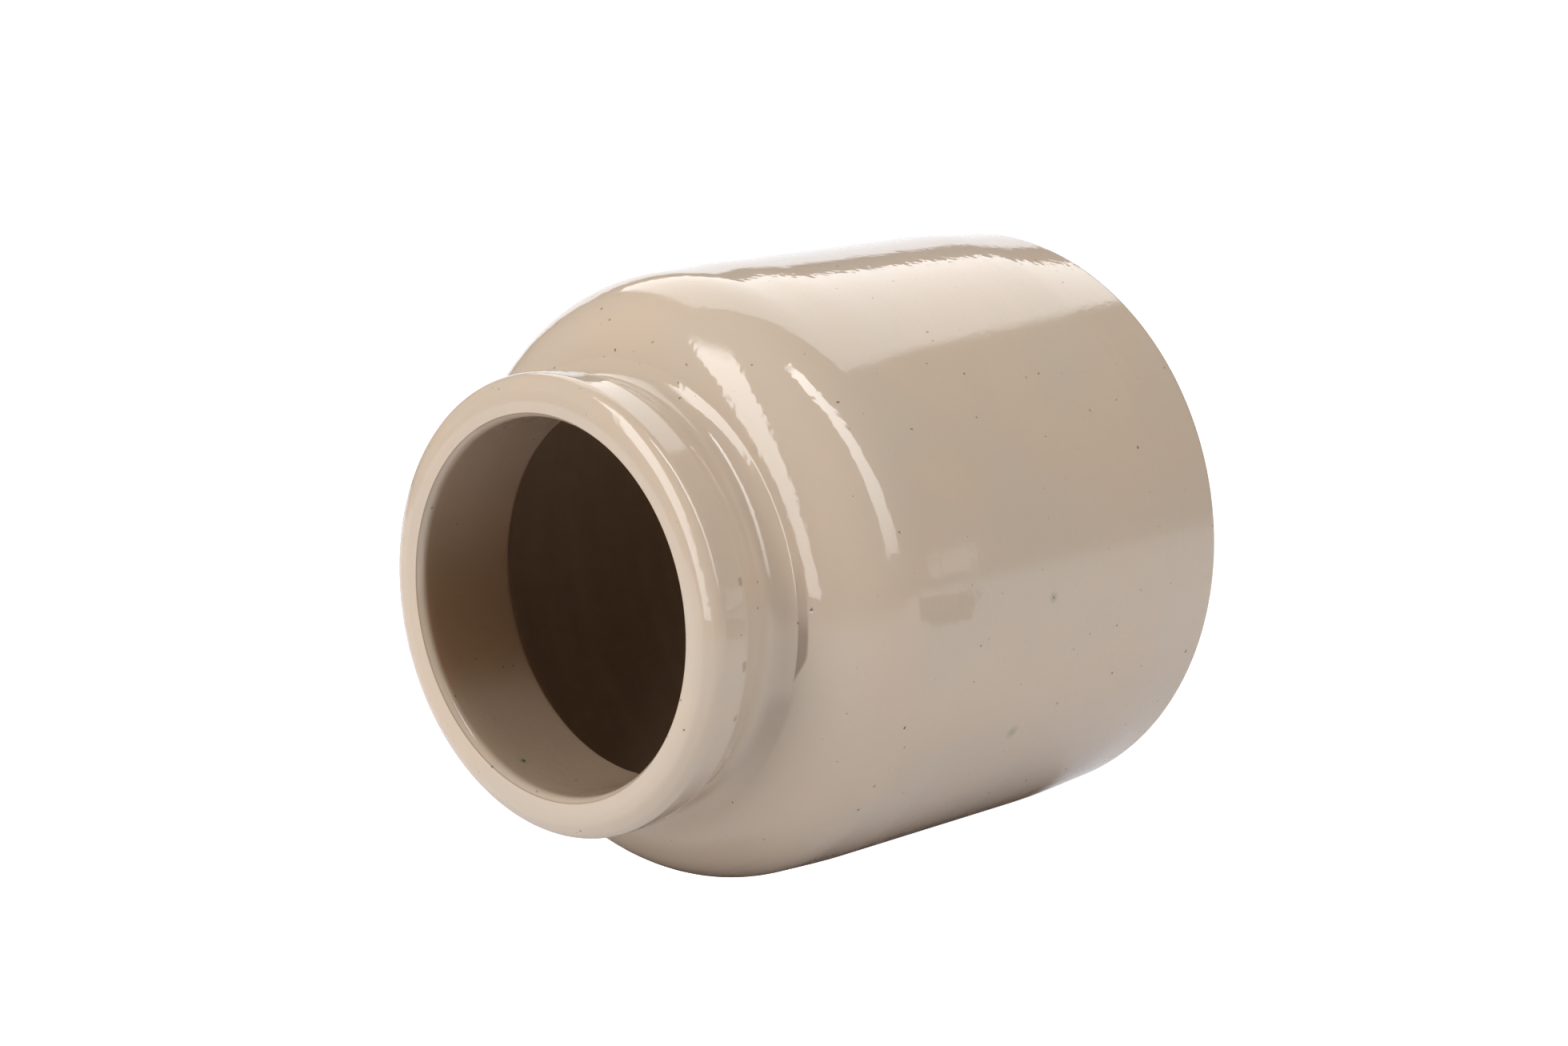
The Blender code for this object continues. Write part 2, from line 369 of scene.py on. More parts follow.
def section_corners(sizes):
    """Corners of the clay wall: up the inside, over the lip, down the outside and under the foot."""
    inner_radius = sizes.body_radius - sizes.wall
    bore_top = sizes.mouth_radius - sizes.bevel_width
    bore_foot = bore_top + sizes.bore_flare
    bore_foot_height = sizes.height - sizes.bore_depth
    inner_fall = (inner_radius - bore_foot) * math.tan(sizes.inner_shoulder_slope)
    mouth_height = sizes.height - sizes.mouth_drop
    crown_radius = sizes.collar_radius - sizes.crown_inset
    lip_slope_radius = sizes.collar_radius - sizes.lip_slope_inset
    collar_foot_height = sizes.height - sizes.collar_depth
    crease_run = sizes.crease_radius - sizes.neck_radius
    crease_height = sizes.shoulder_height - crease_run * math.tan(sizes.shoulder_slope)
    cove_height = crease_height + crease_run * math.tan(sizes.crease_slope)
    shoulder_radius = sizes.body_radius - sizes.shoulder_lean
    shoulder_fall = (shoulder_radius - sizes.neck_radius) * math.tan(sizes.shoulder_slope)
    shoulder_corner = sizes.shoulder_height - shoulder_fall
    foot_radius = sizes.body_radius - sizes.heel_draw_in
    ring_inner = foot_radius - sizes.foot_ring
    recess_radius = ring_inner - sizes.recess_slope
    return [
        (0, sizes.floor, 0),
        (inner_radius, sizes.floor, sizes.inner_heel_round),
        (inner_radius, bore_foot_height - inner_fall, sizes.inner_shoulder_round),
        (bore_foot, bore_foot_height, sizes.bore_foot_round),
        (bore_top, mouth_height - sizes.bevel_depth, sizes.bevel_blend),
        (sizes.mouth_radius, mouth_height, 0),
        (crown_radius, sizes.height, sizes.crown_round),
        (lip_slope_radius, sizes.height - sizes.lip_slope_drop, sizes.lip_slope_round),
        (sizes.collar_radius, sizes.height - sizes.collar_top_drop, sizes.collar_top_round),
        (sizes.collar_radius, collar_foot_height, sizes.collar_foot_round),
        (sizes.neck_radius, sizes.shoulder_height + sizes.groove_height, sizes.groove_blend),
        (sizes.neck_radius, cove_height, sizes.neck_cove),
        (sizes.crease_radius, crease_height, sizes.crease_round),
        (shoulder_radius, shoulder_corner, sizes.shoulder_round),
        (sizes.body_radius, shoulder_corner - sizes.shoulder_lean_height, sizes.shoulder_lean_blend),
        (sizes.body_radius, sizes.heel_draw_height, sizes.heel_blend),
        (foot_radius, 0, sizes.heel_round),
        (ring_inner, 0, sizes.recess_blend),
        (recess_radius, sizes.recess_depth, sizes.recess_blend),
        (0, sizes.recess_depth, 0),
    ]


def even_steps(points, sizes):
    """The same line with its long stretches cut into even steps, finer where the surface shows."""
    bore_foot_height = sizes.height - sizes.bore_depth
    wall_middle = sizes.body_radius - sizes.wall / 2
    stepped = [points[0]]
    for start, end in zip(points, points[1:]):
        run = (end - start).length
        if run < MERGE_DISTANCE:
            continue
        shows = max(start.x, end.x) > wall_middle or start.y > bore_foot_height
        step = sizes.outer_step if shows else sizes.inner_step
        cuts = max(1, math.ceil(run / step))
        stepped += [start.lerp(end, cut / cuts) for cut in range(1, cuts + 1)]
    return stepped


def nothing_selected():
    """Leaves edit mode and deselects every object."""
    if bpy.context.object and bpy.context.object.mode != 'OBJECT':
        bpy.ops.object.mode_set(mode='OBJECT')
    bpy.ops.object.select_all(action='DESELECT')


def add_node(tree, kind, inputs=None, **settings):
    """Adds a node with its settings; an input is given a value, or a socket to be linked to."""
    node = tree.nodes.new(kind)
    for name, value in settings.items():
        setattr(node, name, value)
    for name, value in (inputs or {}).items():
        socket = node.inputs[name]
        if isinstance(value, NodeSocket):
            tree.links.new(value, socket)
        else:
            socket.default_value = value
    return node


def new_material(name):
    """An empty node material and its tree."""
    material = bpy.data.materials.new(name)
    material.use_nodes = True
    material.node_tree.nodes.clear()
    return material, material.node_tree


def opaque(rgb):
    """A colour with full alpha, as a colour socket takes it."""
    return (*rgb, 1.0)


def spread(value, ends, to_ends=(0.0, 1.0)):
    """A Map Range node's inputs, which turn the stretch between ends into the one between to_ends."""
    return {
        'Value': value, 'From Min': ends[0], 'From Max': ends[1], 'To Min': to_ends[0], 'To Max': to_ends[1],
    }


def in_mm(lengths, base=0.0):
    """Lengths given in mm as metres, counted from a base."""
    return [base + length_mm * MM for length_mm in lengths]


def product(tree, *values):
    """Values multiplied."""
    total = values[0]
    for value in values[1:]:
        total = add_node(tree, 'ShaderNodeMath', {0: total, 1: value}, operation='MULTIPLY').outputs[0]
    return total


def strongest(tree, *masks):
    """The largest of several masks at each point."""
    total = masks[0]
    for mask in masks[1:]:
        total = add_node(tree, 'ShaderNodeMath', {0: total, 1: mask}, operation='MAXIMUM').outputs[0]
    return total


def weighed_sum(tree, parts):
    """Values added after each is multiplied by its weight."""
    total = 0.0
    for value, weight in parts:
        total = add_node(tree, 'ShaderNodeMath', {
            0: value, 1: weight, 2: total,
        }, operation='MULTIPLY_ADD').outputs[0]
    return total


def where(tree, *stretches):
    """A mask that rises softly from 0 to 1 over each (value, (start, end)), all of them multiplied."""
    steps = [
        add_node(tree, 'ShaderNodeMapRange', spread(value, ends), interpolation_type='SMOOTHSTEP').outputs[0]
        for value, ends in stretches
    ]
    return product(tree, *steps)


def distance_from(tree, value, middle):
    """How far a value is from its middle, either way."""
    off = add_node(tree, 'ShaderNodeMath', {0: value, 1: middle}, operation='SUBTRACT').outputs[0]
    return add_node(tree, 'ShaderNodeMath', {0: off}, operation='ABSOLUTE').outputs[0]


def near(tree, value, middle, half_width):
    """A mask of a band: 1 over its core, round a value's middle, and 0 past its half width."""
    return where(tree, (distance_from(tree, value, middle), (half_width, half_width * BAND_CORE)))


def spots(tree, coords, marks, fade):
    """A mask of round marks; fade is the share of the radius over which each fades in from its edge."""
    masks = []
    for place, diameter in marks:
        radius = diameter * MM / 2
        away = add_node(tree, 'ShaderNodeVectorMath', {
            0: coords, 1: in_mm(place),
        }, operation='DISTANCE').outputs['Value']
        masks.append(where(tree, (away, (radius, radius * (1 - fade)))))
    return strongest(tree, *masks)


def grain(tree, coords, high_mm, around_mm, detail, roughness=0.5):
    """Noise whose grains are high_mm tall and around_mm long in both other directions."""
    scale = [1 / (size * MM) for size in (around_mm, around_mm, high_mm)]
    mapped = add_node(tree, 'ShaderNodeMapping', {'Vector': coords, 'Scale': scale})
    return add_node(tree, 'ShaderNodeTexNoise', {
        'Vector': mapped.outputs[0], 'Scale': 1.0, 'Detail': detail, 'Roughness': roughness,
    }).outputs['Fac']


def layered(tree, ground, *coats):
    """Colours laid over a ground colour in turn, each given as (share, colour)."""
    tone = opaque(ground)
    for share, coat in coats:
        tone = add_node(tree, 'ShaderNodeMix', {
            MIX_FACTOR: share, MIX_UNDER: tone, MIX_OVER: opaque(coat),
        }, data_type='RGBA').outputs[MIX_COLOUR]
    return tone


class SurfacePoint:
    """Sockets that say where a point of the jar's surface lies: its coordinates, its distance from
    the axis, and the coordinates with a fine shake added."""

    def __init__(self, tree):
        self.coords = add_node(tree, 'ShaderNodeTexCoord').outputs['Object']
        parts = add_node(tree, 'ShaderNodeSeparateXYZ', {'Vector': self.coords}).outputs
        self.x, self.y, self.z = parts['X'], parts['Y'], parts['Z']
        self.off_axis = add_node(tree, 'ShaderNodeCombineXYZ', {'X': self.x, 'Y': self.y}).outputs[0]
        self.radius = add_node(tree, 'ShaderNodeVectorMath', {
            0: self.off_axis,
        }, operation='LENGTH').outputs['Value']

        noise = add_node(tree, 'ShaderNodeTexNoise', {
            'Vector': self.coords, 'Scale': 1 / (SHAKE_GRAIN * MM), 'Detail': 1.0,
        })
        shake = add_node(tree, 'ShaderNodeVectorMath', {
            0: noise.outputs['Color'], 1: (0.5, 0.5, 0.5),
        }, operation='SUBTRACT').outputs[0]
        self.shaken = add_node(tree, 'ShaderNodeVectorMath', {
            0: shake, 1: (SHAKE_REACH * MM,) * 3, 2: self.coords,
        }, operation='MULTIPLY_ADD').outputs[0]
        self.shaken_z = add_node(tree, 'ShaderNodeSeparateXYZ', {'Vector': self.shaken}).outputs['Z']


def ring_coords(tree, point, sizes):
    """Coordinates that run round the jar in x and y, and up the wall and in over the shoulder in z."""
    unit = add_node(tree, 'ShaderNodeVectorMath', {0: point.off_axis}, operation='NORMALIZE').outputs[0]
    around = add_node(tree, 'ShaderNodeVectorMath', {0: unit, 'Scale': sizes.body_radius}, operation='SCALE')
    along = add_node(tree, 'ShaderNodeMath', {0: point.z, 1: point.radius}, operation='SUBTRACT').outputs[0]
    upright = add_node(tree, 'ShaderNodeCombineXYZ', {'Z': along}).outputs[0]
    return add_node(tree, 'ShaderNodeVectorMath', {
        0: around.outputs[0], 1: upright,
    }, operation='ADD').outputs[0]


def speck_mask(tree, coords, cell_mm, largest_mm, share):
    """Specks in a share of the cells: most of them small, and a few as large as largest_mm."""
    cells = add_node(tree, 'ShaderNodeTexVoronoi', {
        'Vector': coords, 'Scale': 1 / (cell_mm * MM), 'Randomness': 1.0,
    })
    chance = add_node(tree, 'ShaderNodeSeparateColor', {'Color': cells.outputs['Color']}).outputs[0]
    rank = add_node(tree, 'ShaderNodeMapRange', spread(chance, (1 - share, 1.0))).outputs[0]
    rare = add_node(tree, 'ShaderNodeMath', {0: rank, 1: SPECK_RARITY}, operation='POWER').outputs[0]
    chosen = add_node(tree, 'ShaderNodeMath', {0: rank, 1: 0.0}, operation='GREATER_THAN').outputs[0]
    largest = largest_mm / cell_mm / 2
    radii = spread(rare, (0.0, 1.0), (largest * SMALLEST_SPECK, largest))
    radius = product(tree, add_node(tree, 'ShaderNodeMapRange', radii).outputs[0], chosen)
    inside = add_node(tree, 'ShaderNodeMath', {
        0: radius, 1: cells.outputs['Distance'],
    }, operation='SUBTRACT').outputs[0]
    return where(tree, (inside, (0.0, SPECK_FADE / cell_mm)))


def bore_shade_share(tree, point, sizes):
    """How far the bore is darkened with painted shade: a little all over, and most in a band across it,
    which stands in for a dark reflection of the inside.
    """
    bevel_foot = sizes.height - sizes.mouth_drop - sizes.bevel_depth
    in_bore = where(
        tree, (point.radius, in_mm(BORE_IN_FROM_MOUTH, sizes.mouth_radius)),
        (point.z, in_mm(BORE_DOWN_FROM_BEVEL, bevel_foot)),
    )
    dark_band = where(tree, (point.x, in_mm(BORE_UPPER_SIDE)), (point.x, in_mm(BORE_LOWER_SIDE)))
    share = add_node(tree, 'ShaderNodeMapRange', spread(dark_band, (0, 1), BORE_SHADE_SHARES)).outputs[0]
    return product(tree, in_bore, share)


def bare_edge_share(tree, point, sizes):
    """Where the glaze runs off the collar's foot, in chips, and off the mouth's arris, all round."""
    break_height = sizes.height - sizes.collar_depth + COLLAR_BREAK_ABOVE * MM
    chips = product(
        tree, near(tree, point.shaken_z, break_height, COLLAR_BREAK_HALF * MM),
        spots(tree, point.shaken, COLLAR_CHIPS, CHIP_FADE), CHIP_STRENGTH,
    )
    arris = near(tree, point.radius, sizes.mouth_radius, ARRIS_BREAK_HALF * MM)
    return strongest(tree, chips, product(tree, arris, ARRIS_STRENGTH))


def crease_shade_share(tree, point, sizes):
    """Painted shade beside the crease, dark where it stands in for a dark reflection, and fainter painted
    shade on into the cove.
    """
    end_x = CREASE_SHADE_END[0] * MM
    from_end = add_node(tree, 'ShaderNodeVectorMath', {
        0: point.coords, 1: in_mm(CREASE_SHADE_END),
    }, operation='DISTANCE').outputs['Value']
    off_crease = add_node(tree, 'ShaderNodeMath', {
        0: point.radius, 1: sizes.crease_radius,
    }, operation='SUBTRACT').outputs[0]
    widening = spread(from_end, (0, CREASE_SHADE_WIDEST_AT * MM), (0, CREASE_SHADE_WIDTH * MM))
    width = add_node(tree, 'ShaderNodeMapRange', widening, interpolation_type='SMOOTHSTEP').outputs[0]
    inside = add_node(tree, 'ShaderNodeMath', {0: width, 1: off_crease}, operation='SUBTRACT').outputs[0]
    thinning = spread(from_end, in_mm(CREASE_SHADE_THINS), CREASE_SHADE_SHARES)
    strength = add_node(tree, 'ShaderNodeMapRange', thinning, interpolation_type='SMOOTHSTEP').outputs[0]
    within = where(
        tree, (inside, in_mm(CREASE_SHADE_EDGE)), (off_crease, in_mm(CREASE_SHADE_OFF_CREASE)), (from_end, in_mm(CREASE_SHADE_ENDS)),
        (point.x, in_mm(CREASE_SHADE_SIDE, end_x)), (point.z, in_mm(CREASE_SHADE_HEIGHTS)),
    )
    in_cove = near(tree, point.radius, sizes.crease_radius - COVE_SHADE_INSIDE_CREASE * MM, COVE_SHADE_HALF * MM)
    cove_shade = where(
        tree, (point.x, in_mm(COVE_SHADE_NEAR_END, end_x)), (point.x, in_mm(COVE_SHADE_FAR_END, end_x)),
        (point.z, in_mm(COVE_SHADE_HEIGHTS)),
    )
    return strongest(tree, product(tree, within, strength), product(tree, in_cove, cove_shade, COVE_SHADE_SHARE))


def iron_share(tree, point):
    """Specks of iron all over, and the larger spots and pinholes that the picture shows."""
    specks = strongest(
        tree, speck_mask(tree, point.shaken, *FINE_SPECKS), speck_mask(tree, point.shaken, *COARSE_SPECKS),
    )
    marks = strongest(
        tree, spots(tree, point.shaken, IRON_SPOTS, IRON_FADE),
        spots(tree, point.shaken, PINHOLES, PINHOLE_FADE),
    )
    return strongest(tree, product(tree, specks, SPECK_STRENGTH), product(tree, marks, MARK_STRENGTH))


def glaze_relief(tree, point, sizes):
    """The throwing lines, a slight orange peel, and a crater round each pinhole."""
    rings = ring_coords(tree, point, sizes)
    craters = [(place, diameter * CRATER_SPREAD) for place, diameter in PINHOLES]
    lines, slow_lines = (
        grain(tree, rings, *sizes_mm, detail=1, roughness=LINES_ROUGHNESS)
        for sizes_mm in (THROWING_LINES, SLOW_THROWING_LINES)
    )
    height = weighed_sum(tree, [
        (lines, THROWING_HEIGHT),
        (slow_lines, SLOW_THROWING_HEIGHT),
        (grain(tree, point.coords, PEEL_GRAIN, PEEL_GRAIN, detail=0), PEEL_HEIGHT),
        (spots(tree, point.coords, craters, CRATER_FADE), CRATER_HEIGHT),
    ])
    return add_node(tree, 'ShaderNodeBump', {'Height': height, 'Strength': 1.0, 'Distance': MM}).outputs[0]


def greige_glaze(look, sizes):
    """Glossy feldspathic glaze over stoneware, dipped and fired clear: its surface keeps the
    throwing lines and a slight orange peel, and iron from the clay melts out as specks."""
    material, tree = new_material("greige_stoneware_glaze")
    point = SurfacePoint(tree)
    thickness = grain(tree, point.coords, THICKNESS_GRAIN, THICKNESS_GRAIN, detail=3)
    halos = spots(tree, point.coords, GREEN_HALOS, HALO_FADE)
    tone = layered(
        tree, look.glaze_cool,
        (where(tree, (thickness, THICKNESS_STRETCH)), look.glaze_warm),
        (MOTTLE_EVENED, look.glaze),
        # Painted shade in the bore
        (bore_shade_share(tree, point, sizes), look.bore),
        (bare_edge_share(tree, point, sizes), look.bare_edge),
        # Painted shade beside the crease and in the cove
        (crease_shade_share(tree, point, sizes), look.crease_shade),
        (product(tree, halos, HALO_STRENGTH), look.copper),
        (iron_share(tree, point), look.iron),
    )
    shader = add_node(tree, 'ShaderNodeBsdfPrincipled', {
        'Base Color': tone, 'Roughness': GLAZE_ROUGHNESS, 'IOR': GLAZE_IOR,
        'Normal': glaze_relief(tree, point, sizes),
    })
    add_node(tree, 'ShaderNodeOutputMaterial', {'Surface': shader.outputs[0]})
    return material


def liner_glaze(look):
    """The same glaze inside the body, poured in thinner and fired browner: satin, and streaked
    round the wall where it ran."""
    material, tree = new_material("stoneware_liner_glaze")
    coords = add_node(tree, 'ShaderNodeTexCoord').outputs['Object']
    streaks = grain(tree, coords, *LINER_STREAKS, detail=3, roughness=LINES_ROUGHNESS)
    shader = add_node(tree, 'ShaderNodeBsdfPrincipled', {
        'Base Color': layered(tree, [c * LINER_SHADE for c in look.liner], (streaks, look.liner)),
        'Roughness': LINER_ROUGHNESS, 'IOR': LINER_IOR,
    })
    add_node(tree, 'ShaderNodeOutputMaterial', {'Surface': shader.outputs[0]})
    return material


def bare_clay(look):
    """Unglazed stoneware, wiped clean before firing: dry, sandy and slightly toasted."""
    material, tree = new_material("bare_fired_stoneware")
    coords = add_node(tree, 'ShaderNodeTexCoord').outputs['Object']
    sand = grain(tree, coords, SAND_GRAIN, SAND_GRAIN, detail=4)
    relief = add_node(tree, 'ShaderNodeBump', {
        'Height': sand, 'Strength': 1.0, 'Distance': SAND_HEIGHT * MM,
    })
    toasted = (where(tree, (sand, SAND_STRETCH)), look.clay)
    shader = add_node(tree, 'ShaderNodeBsdfPrincipled', {
        'Base Color': layered(tree, [c * CLAY_SHADE for c in look.clay], toasted),
        'Roughness': CLAY_ROUGHNESS, 'IOR': CLAY_IOR, 'Normal': relief.outputs[0],
    })
    add_node(tree, 'ShaderNodeOutputMaterial', {'Surface': shader.outputs[0]})
    return material


class JAR_OT_turn_jar(Operator):
    """Turn the jar from its section and give it its glazes"""

    bl_idname = "jar.turn_jar"
    bl_label = "Turn the Jar"

    def execute(self, context):
        sizes, look = context.scene.jar_sizes, context.scene.jar_glaze
        section = even_steps(rounded_section(section_corners(sizes)), sizes)

        nothing_selected()
        bpy.ops.mesh.primitive_plane_add(size=MM, location=(0, 0, 0))
        jar = context.object
        jar.name = jar.data.name = "stoneware_jar_glazed"
        bpy.ops.object.mode_set(mode='EDIT')
        bpy.ops.mesh.merge(type='CENTER')
        bpy.ops.transform.translate(value=(section[0].x, 0, section[0].y))
        for start, end in zip(section, section[1:]):
            step = (end.x - start.x, 0, end.y - start.y)
            bpy.ops.mesh.extrude_vertices_move(TRANSFORM_OT_translate={"value": step})
        bpy.ops.mesh.select_all(action='SELECT')
        bpy.ops.mesh.spin(steps=sizes.around, angle=math.tau, center=(0, 0, 0), axis=(0, 0, 1))
        bpy.ops.mesh.select_all(action='SELECT')
        bpy.ops.mesh.remove_doubles(threshold=MERGE_DISTANCE)
        bpy.ops.mesh.normals_make_consistent(inside=False)
        bpy.ops.object.mode_set(mode='OBJECT')
        if len(jar.data.polygons) < sizes.around:
            raise RuntimeError("The jar's section could not be turned into a wall")

        for material in (greige_glaze(look, sizes), liner_glaze(look), bare_clay(look)):
            jar.data.materials.append(material)
        self.paint(jar, sizes)

        nothing_selected()
        context.view_layer.objects.active = jar
        jar.select_set(True)
        bpy.ops.object.shade_smooth_by_angle(angle=SMOOTH_ANGLE)
        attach(jar, "root")
        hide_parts("stoneware_jar")
        return {'FINISHED'}

    def paint(self, jar, sizes):
        """The foot ring is bare clay, the outside and the bore have the pale glaze, and the inside has
        the liner, as has the slope into the foot's recess."""
        bore_foot = sizes.height - sizes.bore_depth
        foot_radius = sizes.body_radius - sizes.heel_draw_in
        ring_inner = foot_radius - sizes.foot_ring
        ring_outer = foot_radius - sizes.heel_round / 2
        for face in jar.data.polygons:
            radius = math.hypot(face.center.x, face.center.y)
            outwards = face.normal.x * face.center.x + face.normal.y * face.center.y
            on_floor = abs(face.center.z - sizes.floor) < MM and face.normal.z > FACES_UP
            if face.center.z < MM and ring_inner < radius < ring_outer:
                face.material_index = CLAY_FACES
            elif face.center.z < bore_foot and (outwards < FACES_INWARDS * radius or on_floor):
                face.material_index = LINER_FACES
            else:
                face.material_index = GLAZE_FACES


def picture_place(right, up, towards):
    """A place given in metres from the jar's middle, in the picture's directions."""
    return JAR_MIDDLE + RIGHT * right + UP * up + TOWARDS * towards


def flat_card(name, middle, half_right, half_up):
    """A flat card that only reflections and bounced light see, given by its two half sides."""
    nothing_selected()
    bpy.ops.mesh.primitive_plane_add(size=2.0, location=(0, 0, 0))
    card = bpy.context.object
    card.name = name
    normal = half_right.cross(half_up).normalized()
    matrix = Matrix((half_right, half_up, normal)).transposed().to_4x4()
    matrix.translation = middle
    card.matrix_world = matrix
    card.visible_camera = False
    card.visible_shadow = False
    return card


def matt_material(name, hex_colour, shade_hex=None, shade=None):
    """A plain matt surface, with a second colour where shade(tree, x, y) says so.

    x and y are the card's own, from -1 to 1 along its half sides."""
    material, tree = new_material(name)
    coats = []
    if shade:
        coords = add_node(tree, 'ShaderNodeTexCoord').outputs['Object']
        parts = add_node(tree, 'ShaderNodeSeparateXYZ', {'Vector': coords}).outputs
        coats.append((shade(tree, parts['X'], parts['Y']), linear(shade_hex)))
    matt = add_node(tree, 'ShaderNodeBsdfDiffuse', {'Color': layered(tree, linear(hex_colour), *coats)})
    add_node(tree, 'ShaderNodeOutputMaterial', {'Surface': matt.outputs[0]})
    return material


def lit_material(name, hex_colour, strength):
    """A surface that glows evenly."""
    material, tree = new_material(name)
    glow = add_node(tree, 'ShaderNodeEmission', {'Color': opaque(linear(hex_colour)), 'Strength': strength})
    add_node(tree, 'ShaderNodeOutputMaterial', {'Surface': glow.outputs[0]})
    return material


def soft_lamp(name, power, middle, along, across):
    """A rectangular softbox given by its middle and its two half sides, lit towards the jar."""
    data = bpy.data.lights.new(name, 'AREA')
    data.shape = 'RECTANGLE'
    data.size = along.length * 2
    data.size_y = across.length * 2
    data.energy = power
    lamp = bpy.data.objects.new(name, data)
    bpy.context.scene.collection.objects.link(lamp)
    x_axis = along.normalized()
    z_axis = x_axis.cross(across).normalized()
    if z_axis.dot(middle - JAR_MIDDLE) < 0:
        z_axis = -z_axis
    y_axis = z_axis.cross(x_axis)
    matrix = Matrix((x_axis, y_axis, z_axis)).transposed().to_4x4()
    matrix.translation = middle
    lamp.matrix_world = matrix
    lamp.visible_camera = False
    return lamp


def strip_lamp(name, power, ends, across):
    """A narrow softbox that runs from its low end to its high end."""
    low, high = (picture_place(*end) for end in ends)
    return soft_lamp(name, power, (low + high) / 2, (high - low) / 2, across)


def fill_lamp(name, power, place, along, across):
    """A softbox that lights the clay but doesn't show in the glaze."""
    lamp = soft_lamp(name, power, picture_place(*place), along, across)
    lamp.visible_glossy = False
    return lamp


def shaped_face(lamp, widths=(1.0, 1.0), glows=(1.0, 1.0), end_fades=(0.01, 0.01), side_fade=0.06):
    """Shapes a lamp's lit face, in shares: its width and its glow at both ends, and how far its ends
    and its sides fade."""
    lamp.data.use_nodes = True
    tree = lamp.data.node_tree
    tree.nodes.clear()
    face = add_node(tree, 'ShaderNodeNewGeometry').outputs['Parametric']
    along, across, _ = add_node(tree, 'ShaderNodeSeparateXYZ', {'Vector': face}).outputs
    half_widths = spread(along, (0, 1), [width / 2 for width in widths])
    half_width = add_node(tree, 'ShaderNodeMapRange', half_widths).outputs[0]
    inside = add_node(tree, 'ShaderNodeMath', {
        0: half_width, 1: distance_from(tree, across, 0.5),
    }, operation='SUBTRACT').outputs[0]
    strength = add_node(tree, 'ShaderNodeMapRange', spread(along, (0, 1), glows)).outputs[0]
    lit = where(tree, (inside, (0, side_fade)), (along, (0, end_fades[0])), (along, (1, 1 - end_fades[1])))
    glow = add_node(tree, 'ShaderNodeEmission', {'Strength': product(tree, lit, strength)})
    add_node(tree, 'ShaderNodeOutputLight', {'Surface': glow.outputs[0]})


